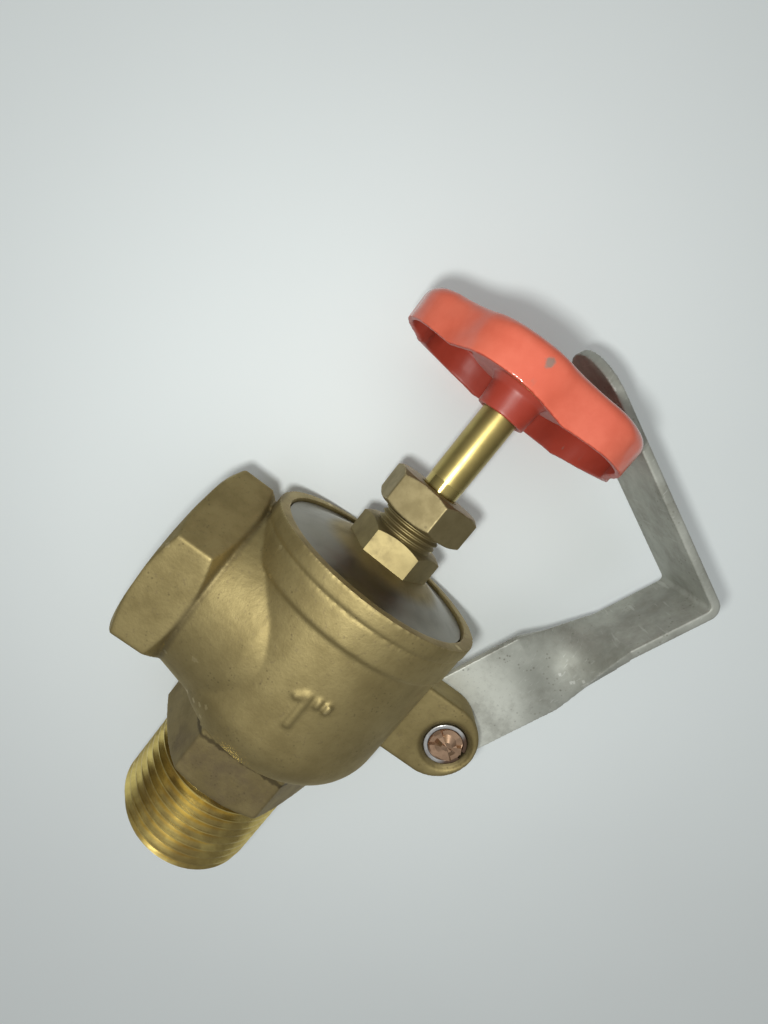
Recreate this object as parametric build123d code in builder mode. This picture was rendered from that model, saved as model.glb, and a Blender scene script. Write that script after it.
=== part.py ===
import os
from math import atan2, cos, degrees, hypot, radians, sin, tan

from build123d import *

os.makedirs("parts", exist_ok=True)

# Clearances shared by the pieces that meet
running_clearance = 0.05
loose_clearance = 0.35
axial_play = 0.3
boss_clearance = 0.7

# Inlet: male pipe thread and wrench hexagon
inlet_thread_diameter = 33.25
inlet_thread_length = 19.5
inlet_thread_chamfer = 0.6
inlet_bore_diameter = 24.0
inlet_hex_across_flats = 34.0
inlet_hex_length = 11.0

# Bowl with collar, groove and rim
bowl_diameter = 50.0
bowl_rounding = 12.0
bowl_height = 35.7
collar_step = 0.7
collar_height = 5.9
groove_depth = 0.6
groove_width = 0.8
rim_step = 0.2
rim_height = 3.2
chamber_wall = 4.5
chamber_rounding = 4.0
chamber_floor_thickness = 3.5

# Seat inside the bowl
seat_rise = 2.0
seat_bore_diameter = 22.0
seat_width = 2.5

# Side port with its own hexagon
port_axis_rise = 21.5
port_reach = 36.9
port_hex_across_flats = 40.4
port_hex_length = 10.8
neck_root_diameter = 46.4
neck_root_reach = 13.0
neck_end_diameter = 36.8
outlet_thread_minor_diameter = 30.29
outlet_thread_depth = 13.5
outlet_bore_diameter = 25.0
outlet_mouth_chamfer = 1.0

# Lug that carries the strap
lug_thickness = 8.6
lug_height = 18.6
lug_reach = 44.2
lug_axis_offset = 0.3
lug_edge_rounding = 0.6
pin_reach = 37.1
sleeve_diameter = 10.0
sleeve_wall = 1.0
sleeve_slot = 1.6
sleeve_recess = 0.7
lug_recess_diameter = 12.3
lug_recess_depth = 0.9
rivet_recess = 1.5
rivet_head_diameter = 14.0
rivet_head_height = 2.0
rivet_head_rounding = 0.9

# Bonnet screwed into the rim
recess_depth = 3.0
recess_wall = 2.6
bonnet_thread_step = 1.3
bonnet_thread_length = 6.6
bonnet_skirt_wall = 3.4
bonnet_skirt_depth = 2.4
gasket_thickness = 0.6
gasket_width = 1.0
flange_thickness = 1.6
cone_margin = 2.3
cone_height = 3.4
bonnet_hex_across_flats = 17.5
bonnet_hex_height = 5.9
bonnet_hex_turn = 172.6
boss_diameter = 19.0
gland_neck_diameter = 14.0
gland_neck_exposed = 4.2
passage_length = 1.6

# Gland nut and packing
gland_nut_across_flats = 19.0
gland_nut_height = 7.8
gland_nut_ceiling = 1.5
gland_nut_turn = -82.5
stuffing_bore_diameter = 11.2
stuffing_floor_rise = 0.5
packing_washer_thickness = 1.0
packing_ring_height = 2.4
follower_flange_thickness = 0.6
follower_flange_diameter = 13.0

# Stem
stem_diameter = 8.14
stem_screw_diameter = 11.0
stem_neck_diameter = 8.9
stem_button_diameter = 12.0
stem_button_height = 2.9
stem_exposed = 26.4
stem_travel = 12.0
stem_square = 5.6
stem_tip_diameter = 4.9
stem_tip_overhang = 0.5

# Disc group on the lower end of the stem
disc_washer_diameter = 29.0
disc_washer_thickness = 3.0
holder_diameter = 32.0
holder_lip_depth = 1.8
holder_base_thickness = 3.5
holder_hub_wall = 2.4
disc_stud_diameter = 4.9
disc_plate_diameter = 17.0
disc_plate_thickness = 1.2
disc_nut_across_flats = 8.0
disc_nut_height = 3.2
disc_stud_overhang = 0.6
collar_nut_spigot = 3.3
collar_nut_flange = 3.0
collar_nut_across_flats = 15.0

# Handwheel pressed from sheet
wheel_diameter = 53.8
wheel_lobes = 6
wheel_lobe_turn = -108.4
wheel_scallop_radius = 20.0
wheel_valley_depth = 2.6
wheel_scallop_fillet = 11.0
wheel_sheet = 1.2
wheel_height = 8.9
wheel_edge_wave = 1.2
wheel_crown_rounding = 2.6
wheel_dish_depth = 3.2
wheel_dish_diameter = 24.0
wheel_dish_slope = 45.0
wheel_window_diameter = 6.0
wheel_window_margin = 7.9
wheel_washer_diameter = 13.0
wheel_washer_thickness = 0.9
wheel_nut_across_flats = 8.0
wheel_nut_height = 3.2

# Lock strap with a quarter twist and a fold
strap_width = 21.0
strap_thickness = 2.0
strap_gap = 0.2
strap_lean = 22.2
strap_twist_start = 26.0
strap_twist_end = 46.0
strap_twist_steps = 8
strap_fold_reach = 65.7
strap_fold_radius = 1.2
strap_top_rise = 23.6
strap_top_length = 61.2
lock_hole_diameter = 8.2
lock_hole_reach = 49.0

# Levels along the stem axis
shoulder_z = inlet_thread_length
bowl_base_z = shoulder_z + inlet_hex_length
collar_z = bowl_base_z + bowl_height
groove_z = collar_z + collar_height
rim_z = groove_z + groove_width
rim_top_z = rim_z + rim_height
port_axis_z = bowl_base_z + port_axis_rise
lug_axis_z = port_axis_z + lug_axis_offset
chamber_floor_z = bowl_base_z + chamber_floor_thickness
seat_z = chamber_floor_z + seat_rise
recess_floor_z = rim_top_z - recess_depth
flange_z = recess_floor_z + gasket_thickness
flange_top_z = flange_z + flange_thickness
bonnet_hex_z = flange_top_z + cone_height
gland_neck_z = bonnet_hex_z + bonnet_hex_height
gland_nut_z = gland_neck_z + gland_neck_exposed
gland_nut_top_z = gland_nut_z + gland_nut_height
nut_ceiling_z = gland_nut_top_z - gland_nut_ceiling
neck_top_z = nut_ceiling_z - follower_flange_thickness - axial_play
stuffing_floor_z = gland_neck_z + stuffing_floor_rise
passage_z = stuffing_floor_z - passage_length
bonnet_thread_z = recess_floor_z - bonnet_thread_length
wheel_seat_z = gland_nut_top_z + stem_exposed
web_top_z = wheel_seat_z + wheel_sheet
wheel_top_z = web_top_z + wheel_dish_depth
wheel_skirt_z = wheel_top_z - wheel_height
wheel_nut_z = web_top_z + wheel_washer_thickness
wheel_nut_top_z = wheel_nut_z + wheel_nut_height
disc_z = seat_z + stem_travel
holder_base_z = disc_z + disc_washer_thickness
holder_top_z = holder_base_z + holder_base_thickness
button_z = holder_top_z + axial_play
button_top_z = button_z + stem_button_height
spigot_z = button_top_z + axial_play
hub_top_z = spigot_z + collar_nut_spigot
collar_nut_top_z = hub_top_z + collar_nut_flange
boss_z = collar_nut_top_z + boss_clearance
disc_plate_z = disc_z - disc_plate_thickness
disc_nut_z = disc_plate_z - disc_nut_height

# Radii used by several pieces
bowl_radius = bowl_diameter / 2
collar_radius = bowl_radius + collar_step
rim_radius = collar_radius + rim_step
recess_radius = rim_radius - recess_wall
chamber_radius = bowl_radius - chamber_wall
lug_radius = lug_height / 2
sleeve_radius = sleeve_diameter / 2
strap_radius = strap_width / 2
stem_radius = stem_diameter / 2
screw_radius = stem_screw_diameter / 2
stem_neck_radius = stem_neck_diameter / 2
button_radius = stem_button_diameter / 2
hub_bore_radius = button_radius + loose_clearance
hub_radius = hub_bore_radius + holder_hub_wall
stuffing_radius = stuffing_bore_diameter / 2
gland_neck_radius = gland_neck_diameter / 2
bonnet_thread_radius = recess_radius - bonnet_thread_step
cone_base_radius = recess_radius - cone_margin

# Side port plane: looks outward along the port axis
port_plane = Plane(origin=(0, 0, port_axis_z), x_dir=(0, 1, 0), z_dir=(-1, 0, 0))
port_side_plane = Plane(origin=(0, 0, port_axis_z), x_dir=(0, 1, 0), z_dir=(0, 0, 1))
port_axis = Axis((0, 0, port_axis_z), (-1, 0, 0))


def hexagon_block(plane, across_flats, length, low, high, turn=0.0):
    # Hexagonal bar whose ends are chamfered at 30 degrees down to the flats
    inner = across_flats / 2
    outer = inner / cos(radians(30)) + 0.5
    drop = (outer - inner) * tan(radians(30))
    side = Plane(origin=plane.origin, x_dir=plane.x_dir, z_dir=-plane.y_dir)
    with BuildPart() as block:
        with BuildSketch(plane):
            RegularPolygon(inner, 6, major_radius=False, rotation=turn)
        extrude(amount=length)
        with BuildSketch(side):
            with BuildLine():
                Polyline(
                    (0, 0),
                    (inner if low else outer, 0),
                    (outer, drop if low else 0.01),
                    (outer, length - (drop if high else 0.01)),
                    (inner if high else outer, length),
                    (0, length),
                    close=True,
                )
            make_face()
        revolve(axis=Axis(plane.origin, plane.z_dir), mode=Mode.INTERSECT)
    return block.part


def ring(z, height, outer_radius, inner_radius):
    # Plain flat ring about the stem axis
    with BuildPart() as band:
        with BuildSketch(Plane.XY.offset(z)):
            Circle(outer_radius)
            Circle(inner_radius, mode=Mode.SUBTRACT)
        extrude(amount=height)
    return band.part


def turned(points):
    # Solid of revolution about the stem axis from radius and level pairs
    with BuildPart() as blank:
        with BuildSketch(Plane.XZ):
            with BuildLine():
                Polyline(*points, close=True)
            make_face()
        revolve(axis=Axis.Z)
    return blank.part


# Body
inlet_hexagon = hexagon_block(
    Plane.XY.offset(shoulder_z),
    inlet_hex_across_flats,
    inlet_hex_length + chamber_floor_thickness,
    low=True,
    high=False,
)
port_hexagon = hexagon_block(
    port_plane.offset(port_reach - port_hex_length),
    port_hex_across_flats,
    port_hex_length,
    low=True,
    high=True,
    turn=90.0,
)
with BuildPart() as lug:
    with BuildSketch(Plane.XZ.offset(-lug_thickness / 2)):
        with Locations((lug_reach - lug_radius, lug_axis_z)):
            Circle(lug_radius)
        with Locations(((lug_reach - lug_radius) / 2, lug_axis_z)):
            Rectangle(lug_reach - lug_radius, lug_height)
    extrude(amount=lug_thickness)
    flat_faces = lug.faces().sort_by(Axis.Y)
    fillet(flat_faces[0].edges() + flat_faces[-1].edges(), lug_edge_rounding)

with BuildPart() as body:
    with BuildSketch(Plane.XY):
        Circle(inlet_thread_diameter / 2)
    extrude(amount=shoulder_z)
    chamfer(body.edges().sort_by(Axis.Z)[0], inlet_thread_chamfer)
    add(inlet_hexagon)
    with BuildSketch(Plane.XZ):
        with BuildLine():
            corner = (bowl_radius - bowl_rounding, bowl_base_z)
            side = (bowl_radius, bowl_base_z + bowl_rounding)
            Polyline((0, bowl_base_z), corner)
            RadiusArc(corner, side, -bowl_rounding)
            Polyline(
                side,
                (bowl_radius, collar_z),
                (collar_radius, collar_z + collar_step),
                (collar_radius, groove_z),
                (collar_radius - groove_depth, groove_z + groove_width / 2),
                (rim_radius, rim_z),
                (rim_radius, rim_top_z),
                (0, rim_top_z),
                (0, bowl_base_z),
            )
        make_face()
    revolve(axis=Axis.Z)
    with BuildSketch(port_side_plane):
        with BuildLine():
            Polyline(
                (0, 0),
                (neck_root_diameter / 2, 0),
                (neck_root_diameter / 2, neck_root_reach),
                (neck_end_diameter / 2, port_reach - port_hex_length / 2),
                (0, port_reach - port_hex_length / 2),
                close=True,
            )
        make_face()
    revolve(axis=port_axis)
    add(port_hexagon)
    add(lug.part)
    # Chamber above the seat, open to the rim
    with BuildSketch(Plane.XZ):
        with BuildLine():
            floor_corner = (chamber_radius - chamber_rounding, chamber_floor_z)
            wall_corner = (chamber_radius, chamber_floor_z + chamber_rounding)
            seat_radius = seat_bore_diameter / 2 + seat_width
            Polyline((0, seat_z), (seat_radius, seat_z), (seat_radius, chamber_floor_z), floor_corner)
            RadiusArc(floor_corner, wall_corner, -chamber_rounding)
            Polyline(
                wall_corner,
                (chamber_radius, bonnet_thread_z),
                (bonnet_thread_radius, bonnet_thread_z),
                (bonnet_thread_radius, recess_floor_z),
                (recess_radius, recess_floor_z),
                (recess_radius, rim_top_z),
                (0, rim_top_z),
                (0, seat_z),
            )
        make_face()
    revolve(axis=Axis.Z, mode=Mode.SUBTRACT)
    # Waterway through the inlet and the seat
    with BuildSketch(Plane.XY):
        Circle(inlet_bore_diameter / 2)
    extrude(amount=bowl_base_z, mode=Mode.SUBTRACT)
    with BuildSketch(Plane.XY.offset(bowl_base_z)):
        Circle(seat_bore_diameter / 2)
    extrude(amount=seat_z - bowl_base_z, mode=Mode.SUBTRACT)
    # Outlet bore and its female thread
    with BuildSketch(port_plane):
        Circle(outlet_bore_diameter / 2)
    extrude(amount=port_reach, mode=Mode.SUBTRACT)
    with BuildSketch(port_side_plane):
        with BuildLine():
            mouth = outlet_thread_minor_diameter / 2
            Polyline(
                (0, port_reach - outlet_thread_depth),
                (mouth, port_reach - outlet_thread_depth),
                (mouth, port_reach - outlet_mouth_chamfer),
                (mouth + outlet_mouth_chamfer, port_reach),
                (0, port_reach),
                close=True,
            )
        make_face()
    revolve(axis=port_axis, mode=Mode.SUBTRACT)
    # Pin hole in the lug with a shallow recess on the near face
    with BuildSketch(Plane.XZ.offset(-lug_thickness)):
        with Locations((pin_reach, lug_axis_z)):
            Circle(sleeve_radius + running_clearance)
    extrude(amount=2 * lug_thickness, mode=Mode.SUBTRACT)
    with BuildSketch(Plane.XZ.offset(lug_thickness / 2 - lug_recess_depth)):
        with Locations((pin_reach, lug_axis_z)):
            Circle(lug_recess_diameter / 2)
    extrude(amount=2 * lug_recess_depth, mode=Mode.SUBTRACT)

# Bonnet
bonnet_hexagon = hexagon_block(
    Plane.XY.offset(bonnet_hex_z - cone_height / 2),
    bonnet_hex_across_flats,
    bonnet_hex_height + cone_height / 2,
    low=False,
    high=True,
    turn=bonnet_hex_turn,
)
with BuildPart() as bonnet:
    with BuildSketch(Plane.XZ):
        with BuildLine():
            skirt_radius = bonnet_thread_radius - running_clearance
            skirt_z = bonnet_thread_z + axial_play
            Polyline(
                (0, boss_z),
                (boss_diameter / 2, boss_z),
                (boss_diameter / 2, skirt_z + bonnet_skirt_depth),
                (skirt_radius - bonnet_skirt_wall, skirt_z + bonnet_skirt_depth),
                (skirt_radius - bonnet_skirt_wall, skirt_z),
                (skirt_radius, skirt_z),
                (skirt_radius, flange_z),
                (recess_radius - loose_clearance, flange_z),
                (recess_radius - loose_clearance, flange_top_z),
                (cone_base_radius, flange_top_z),
                (bonnet_hex_across_flats / 2 / cos(radians(30)), bonnet_hex_z),
                (gland_neck_radius, bonnet_hex_z),
                (gland_neck_radius, neck_top_z),
                (0, neck_top_z),
                close=True,
            )
        make_face()
    revolve(axis=Axis.Z)
    add(bonnet_hexagon)
    with BuildSketch(Plane.XY.offset(boss_z)):
        Circle(screw_radius + loose_clearance)
    extrude(amount=passage_z - boss_z, mode=Mode.SUBTRACT)
    with BuildSketch(Plane.XY.offset(passage_z)):
        Circle(stem_radius + loose_clearance)
    extrude(amount=passage_length, mode=Mode.SUBTRACT)
    with BuildSketch(Plane.XY.offset(stuffing_floor_z)):
        Circle(stuffing_radius)
    extrude(amount=neck_top_z - stuffing_floor_z, mode=Mode.SUBTRACT)

with BuildPart() as bonnet_gasket:
    add(
        ring(
            recess_floor_z,
            gasket_thickness,
            recess_radius - loose_clearance,
            recess_radius - loose_clearance - gasket_width,
        )
    )

# Packing and gland
packing_inner_radius = stem_radius + running_clearance
packing_outer_radius = stuffing_radius - running_clearance
ring_lower_z = stuffing_floor_z + packing_washer_thickness
ring_upper_z = ring_lower_z + packing_ring_height
follower_z = ring_upper_z + packing_ring_height
with BuildPart() as packing_washer:
    add(
        ring(
            stuffing_floor_z,
            packing_washer_thickness,
            packing_outer_radius,
            stem_radius + loose_clearance,
        )
    )
with BuildPart() as packing_ring_lower:
    add(ring(ring_lower_z, packing_ring_height, packing_outer_radius, packing_inner_radius))
with BuildPart() as packing_ring_upper:
    add(ring(ring_upper_z, packing_ring_height, packing_outer_radius, packing_inner_radius))
with BuildPart() as gland_follower:
    add(
        turned(
            [
                (stem_radius + loose_clearance, follower_z),
                (packing_outer_radius, follower_z),
                (packing_outer_radius, nut_ceiling_z - follower_flange_thickness),
                (follower_flange_diameter / 2, nut_ceiling_z - follower_flange_thickness),
                (follower_flange_diameter / 2, nut_ceiling_z),
                (stem_radius + loose_clearance, nut_ceiling_z),
            ]
        )
    )

gland_nut_blank = hexagon_block(
    Plane.XY.offset(gland_nut_z),
    gland_nut_across_flats,
    gland_nut_height,
    low=True,
    high=True,
    turn=gland_nut_turn,
)
with BuildPart() as gland_nut:
    add(gland_nut_blank)
    with BuildSketch(Plane.XY.offset(gland_nut_z)):
        Circle(gland_neck_radius + running_clearance)
    extrude(amount=nut_ceiling_z - gland_nut_z, mode=Mode.SUBTRACT)
    with BuildSketch(Plane.XY.offset(nut_ceiling_z)):
        Circle(stem_radius + loose_clearance)
    extrude(amount=gland_nut_ceiling, mode=Mode.SUBTRACT)

# Stem: button, neck, screw, polished rod, square and threaded tip
with BuildPart() as stem:
    add(
        turned(
            [
                (0, button_z),
                (button_radius, button_z),
                (button_radius, button_top_z),
                (stem_neck_radius, button_top_z),
                (stem_neck_radius, boss_z - axial_play),
                (screw_radius, boss_z - axial_play),
                (screw_radius, passage_z - axial_play),
                (stem_radius, passage_z - axial_play),
                (stem_radius, wheel_seat_z),
                (0, wheel_seat_z),
            ]
        )
    )
    with BuildSketch(Plane.XY.offset(wheel_seat_z)):
        Rectangle(stem_square, stem_square)
    extrude(amount=wheel_sheet - axial_play)
    with BuildSketch(Plane.XY.offset(wheel_seat_z)):
        Circle(stem_tip_diameter / 2)
    extrude(amount=wheel_nut_top_z + stem_tip_overhang - wheel_seat_z)

# Disc group
stud_radius = disc_stud_diameter / 2
lip_inner_radius = disc_washer_diameter / 2 + running_clearance
with BuildPart() as disc_holder:
    add(
        turned(
            [
                (0, disc_nut_z - disc_stud_overhang),
                (stud_radius, disc_nut_z - disc_stud_overhang),
                (stud_radius, holder_base_z),
                (lip_inner_radius, holder_base_z),
                (lip_inner_radius, holder_base_z - holder_lip_depth),
                (holder_diameter / 2, holder_base_z - holder_lip_depth),
                (holder_diameter / 2, holder_top_z),
                (hub_radius, holder_top_z),
                (hub_radius, hub_top_z),
                (hub_bore_radius, hub_top_z),
                (hub_bore_radius, holder_top_z),
                (0, holder_top_z),
            ]
        )
    )
collar_nut_blank = hexagon_block(
    Plane.XY.offset(hub_top_z),
    collar_nut_across_flats,
    collar_nut_flange,
    low=False,
    high=True,
)
with BuildPart() as disc_collar_nut:
    add(collar_nut_blank)
    with BuildSketch(Plane.XY.offset(spigot_z)):
        Circle(hub_bore_radius - running_clearance)
    extrude(amount=collar_nut_spigot)
    with BuildSketch(Plane.XY.offset(spigot_z)):
        Circle(stem_neck_radius + loose_clearance)
    extrude(amount=collar_nut_top_z - spigot_z, mode=Mode.SUBTRACT)
with BuildPart() as disc_washer:
    add(
        ring(
            disc_z,
            disc_washer_thickness,
            disc_washer_diameter / 2,
            stud_radius + running_clearance,
        )
    )
with BuildPart() as disc_plate:
    add(
        ring(
            disc_plate_z,
            disc_plate_thickness,
            disc_plate_diameter / 2,
            stud_radius + running_clearance,
        )
    )
disc_nut_blank = hexagon_block(
    Plane.XY.offset(disc_nut_z),
    disc_nut_across_flats,
    disc_nut_height,
    low=True,
    high=False,
)
with BuildPart() as disc_nut:
    add(disc_nut_blank)
    with BuildSketch(Plane.XY.offset(disc_nut_z)):
        Circle(stud_radius + running_clearance)
    extrude(amount=disc_nut_height, mode=Mode.SUBTRACT)

# Handwheel: lobed cap, hollow below, dished in the middle
lobe_step = 360.0 / wheel_lobes
scallop_reach = wheel_diameter / 2 - wheel_valley_depth + wheel_scallop_radius
window_reach = wheel_diameter / 2 - wheel_window_margin
lobe_inset = scallop_reach * cos(radians(lobe_step / 2))
lobe_full_round = (
    (wheel_diameter / 2) ** 2
    + scallop_reach**2
    - wheel_diameter * lobe_inset
    - wheel_scallop_radius**2
) / (wheel_diameter + 2 * wheel_scallop_radius - 2 * lobe_inset)
# The two fillets of a lobe leave part of its crest between them
lobe_fillet = min(wheel_scallop_fillet, lobe_full_round - wheel_sheet / 2)


def lobed_outline(plane, shrink):
    with BuildSketch(plane) as outline:
        valley_turn = wheel_lobe_turn + lobe_step / 2
        with Locations(Location((0, 0, 0), (0, 0, valley_turn))):
            Circle(wheel_diameter / 2 - shrink)
        with PolarLocations(scallop_reach, wheel_lobes, start_angle=valley_turn):
            Circle(wheel_scallop_radius + shrink, mode=Mode.SUBTRACT)
        fillet(outline.vertices(), lobe_fillet - shrink)
    return outline.sketch


def lobe_plane(turn):
    outward = Vector(cos(radians(turn)), sin(radians(turn)), 0)
    sideways = Vector(-sin(radians(turn)), cos(radians(turn)), 0)
    return Plane(Vector(0, 0, wheel_skirt_z), x_dir=sideways, z_dir=outward)


lobe_half_chord = wheel_diameter / 2 * sin(radians(lobe_step / 2))
edge_wave_radius = (lobe_half_chord**2 + wheel_edge_wave**2) / (2 * wheel_edge_wave)
outer_outline = lobed_outline(Plane.XY.offset(wheel_skirt_z), 0.0)
inner_outline = lobed_outline(Plane.XY.offset(wheel_skirt_z), wheel_sheet)
dish_radius = wheel_dish_diameter / 2
dish_run = wheel_dish_depth / tan(radians(wheel_dish_slope))
dish_shift = wheel_sheet * tan(radians(wheel_dish_slope / 2))
with BuildPart() as handwheel:
    add(outer_outline)
    extrude(amount=wheel_height)
    fillet(handwheel.faces().sort_by(Axis.Z)[-1].edges(), wheel_crown_rounding)
    add(inner_outline)
    extrude(amount=wheel_height - wheel_sheet, mode=Mode.SUBTRACT)
    for lobe in range(wheel_lobes):
        with BuildSketch(lobe_plane(wheel_lobe_turn + lobe * lobe_step)):
            with Locations((0, wheel_edge_wave - edge_wave_radius)):
                Circle(edge_wave_radius)
        extrude(amount=wheel_diameter, mode=Mode.SUBTRACT)
    with BuildSketch(Plane.XZ):
        with BuildLine():
            Polyline(
                (0, web_top_z),
                (dish_radius, web_top_z),
                (dish_radius + dish_run, wheel_top_z),
                (0, wheel_top_z),
                close=True,
            )
        make_face()
    revolve(axis=Axis.Z, mode=Mode.SUBTRACT)
    with BuildSketch(Plane.XZ):
        with BuildLine():
            Polyline(
                (0, wheel_seat_z),
                (dish_radius + dish_shift, wheel_seat_z),
                (dish_radius + dish_shift + dish_run, wheel_top_z - wheel_sheet),
                (dish_radius + dish_run, wheel_top_z),
                (dish_radius, web_top_z),
                (0, web_top_z),
                close=True,
            )
        make_face()
    revolve(axis=Axis.Z)
    with BuildSketch(Plane.XY.offset(wheel_seat_z)):
        Rectangle(stem_square + 2 * running_clearance, stem_square + 2 * running_clearance)
    extrude(amount=wheel_sheet, mode=Mode.SUBTRACT)
    with BuildSketch(Plane.XY.offset(wheel_seat_z)):
        with PolarLocations(window_reach, wheel_lobes, start_angle=wheel_lobe_turn):
            Circle(wheel_window_diameter / 2)
    extrude(amount=wheel_dish_depth + 2 * wheel_sheet, mode=Mode.SUBTRACT)

tip_clear_radius = stem_tip_diameter / 2 + running_clearance
with BuildPart() as wheel_washer:
    add(ring(web_top_z, wheel_washer_thickness, wheel_washer_diameter / 2, tip_clear_radius))
wheel_nut_blank = hexagon_block(
    Plane.XY.offset(wheel_nut_z),
    wheel_nut_across_flats,
    wheel_nut_height,
    low=False,
    high=True,
    turn=wheel_lobe_turn,
)
with BuildPart() as wheel_nut:
    add(wheel_nut_blank)
    with BuildSketch(Plane.XY.offset(wheel_nut_z)):
        Circle(tip_clear_radius)
    extrude(amount=wheel_nut_height, mode=Mode.SUBTRACT)

# Lock strap: flat foot, quarter twist, fold, rounded end
lean_sin = sin(radians(strap_lean))
lean_cos = cos(radians(strap_lean))
rise_sin = sin(radians(strap_top_rise))
rise_cos = cos(radians(strap_top_rise))
strap_front_y = lug_thickness / 2 + strap_gap
strap_middle_y = strap_front_y + strap_thickness / 2
strap_back_y = strap_front_y + strap_thickness
strap_along = Vector(lean_sin, 0, lean_cos)
strap_across = Vector(lean_cos, 0, -lean_sin)
top_along = Vector(-rise_cos, 0, rise_sin)
top_normal = Vector(rise_sin, 0, rise_cos)
strap_pin = Vector(pin_reach, strap_middle_y, lug_axis_z)
fold_turn = 90.0 + strap_lean - strap_top_rise
fold_inset = (strap_fold_radius + strap_thickness / 2) * tan(radians(fold_turn / 2))
fold_start = strap_pin + strap_along * (strap_fold_reach - fold_inset)
fold_centre = fold_start - strap_across * (strap_fold_radius + strap_thickness / 2)
fold_end = fold_centre + top_normal * (strap_fold_radius + strap_thickness / 2)
tip_reach = strap_top_length - fold_inset - strap_radius
hole_reach = lock_hole_reach - fold_inset


def strap_section(reach, turn):
    # Plane across the strap, its x direction along the strap's width
    across = strap_across * cos(radians(turn)) - Vector(0, 1, 0) * sin(radians(turn))
    return Plane(origin=strap_pin + strap_along * reach, x_dir=across, z_dir=strap_along)


foot_plane = Plane(
    origin=(pin_reach, strap_front_y, lug_axis_z),
    x_dir=strap_along,
    z_dir=(0, 1, 0),
)
top_plane = Plane(
    origin=fold_end - top_normal * (strap_thickness / 2),
    x_dir=top_along,
    z_dir=top_normal,
)
with BuildPart() as lock_strap:
    with BuildSketch(foot_plane):
        Circle(strap_radius)
        with Locations((strap_twist_start / 2, 0)):
            Rectangle(strap_twist_start, strap_width)
        Circle(sleeve_radius + running_clearance, mode=Mode.SUBTRACT)
    extrude(amount=strap_thickness)
    for step in range(strap_twist_steps + 1):
        # The edges run straight across the twist, so the middle is a little narrower
        share = step / strap_twist_steps
        reach = strap_twist_start + (strap_twist_end - strap_twist_start) * share
        twist_turn = degrees(atan2(share, 1 - share))
        with BuildSketch(strap_section(reach, twist_turn)):
            Rectangle(strap_width * hypot(share, 1 - share), strap_thickness)
    loft()
    with BuildSketch(strap_section(strap_twist_end, 90.0)):
        Rectangle(strap_width, strap_thickness)
    extrude(amount=strap_fold_reach - fold_inset - strap_twist_end)
    with BuildSketch(strap_section(strap_fold_reach - fold_inset, 90.0)):
        Rectangle(strap_width, strap_thickness)
    revolve(axis=Axis(fold_centre, (0, -1, 0)), revolution_arc=fold_turn)
    with BuildSketch(top_plane):
        with Locations((tip_reach / 2, 0)):
            Rectangle(tip_reach, strap_width)
        with Locations((tip_reach, 0)):
            Circle(strap_radius)
        with Locations((hole_reach, 0)):
            Circle(lock_hole_diameter / 2, mode=Mode.SUBTRACT)
    extrude(amount=strap_thickness)

# Hinge: slotted sleeve and peened rivet
sleeve_front_y = -lug_thickness / 2 + sleeve_recess
sleeve_back_y = strap_back_y + strap_gap
sleeve_inner_radius = sleeve_radius - sleeve_wall
rivet_front_y = -lug_thickness / 2 + rivet_recess
with BuildPart() as hinge_sleeve:
    with BuildSketch(Plane.XZ.offset(-sleeve_back_y)):
        with Locations((pin_reach, lug_axis_z)):
            Circle(sleeve_radius)
            Circle(sleeve_inner_radius, mode=Mode.SUBTRACT)
        with Locations((pin_reach + sleeve_radius, lug_axis_z)):
            Rectangle(sleeve_diameter, sleeve_slot, mode=Mode.SUBTRACT)
    extrude(amount=sleeve_back_y - sleeve_front_y)
with BuildPart() as hinge_rivet:
    with BuildSketch(Plane.XZ.offset(-sleeve_back_y)):
        with Locations((pin_reach, lug_axis_z)):
            Circle(sleeve_inner_radius - running_clearance)
    extrude(amount=sleeve_back_y - rivet_front_y)
    with BuildSketch(Plane.XZ.offset(-sleeve_back_y - rivet_head_height)):
        with Locations((pin_reach, lug_axis_z)):
            Circle(rivet_head_diameter / 2)
    extrude(amount=rivet_head_height)
    fillet(hinge_rivet.edges().sort_by(Axis.Y)[-1], rivet_head_rounding)

body.part.label = "body"
export_step(body.part, "parts/body.step")
bonnet.part.label = "bonnet"
export_step(bonnet.part, "parts/bonnet.step")
bonnet_gasket.part.label = "bonnet_gasket"
export_step(bonnet_gasket.part, "parts/bonnet_gasket.step")
packing_washer.part.label = "packing_washer"
export_step(packing_washer.part, "parts/packing_washer.step")
packing_ring_lower.part.label = "packing_ring_lower"
export_step(packing_ring_lower.part, "parts/packing_ring_lower.step")
packing_ring_upper.part.label = "packing_ring_upper"
export_step(packing_ring_upper.part, "parts/packing_ring_upper.step")
gland_follower.part.label = "gland_follower"
export_step(gland_follower.part, "parts/gland_follower.step")
gland_nut.part.label = "gland_nut"
export_step(gland_nut.part, "parts/gland_nut.step")
stem.part.label = "stem"
export_step(stem.part, "parts/stem.step")
disc_holder.part.label = "disc_holder"
export_step(disc_holder.part, "parts/disc_holder.step")
disc_collar_nut.part.label = "disc_collar_nut"
export_step(disc_collar_nut.part, "parts/disc_collar_nut.step")
disc_washer.part.label = "disc_washer"
export_step(disc_washer.part, "parts/disc_washer.step")
disc_plate.part.label = "disc_plate"
export_step(disc_plate.part, "parts/disc_plate.step")
disc_nut.part.label = "disc_nut"
export_step(disc_nut.part, "parts/disc_nut.step")
handwheel.part.label = "handwheel"
export_step(handwheel.part, "parts/handwheel.step")
wheel_washer.part.label = "wheel_washer"
export_step(wheel_washer.part, "parts/wheel_washer.step")
wheel_nut.part.label = "wheel_nut"
export_step(wheel_nut.part, "parts/wheel_nut.step")
lock_strap.part.label = "lock_strap"
export_step(lock_strap.part, "parts/lock_strap.step")
hinge_sleeve.part.label = "hinge_sleeve"
export_step(hinge_sleeve.part, "parts/hinge_sleeve.step")
hinge_rivet.part.label = "hinge_rivet"
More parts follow.
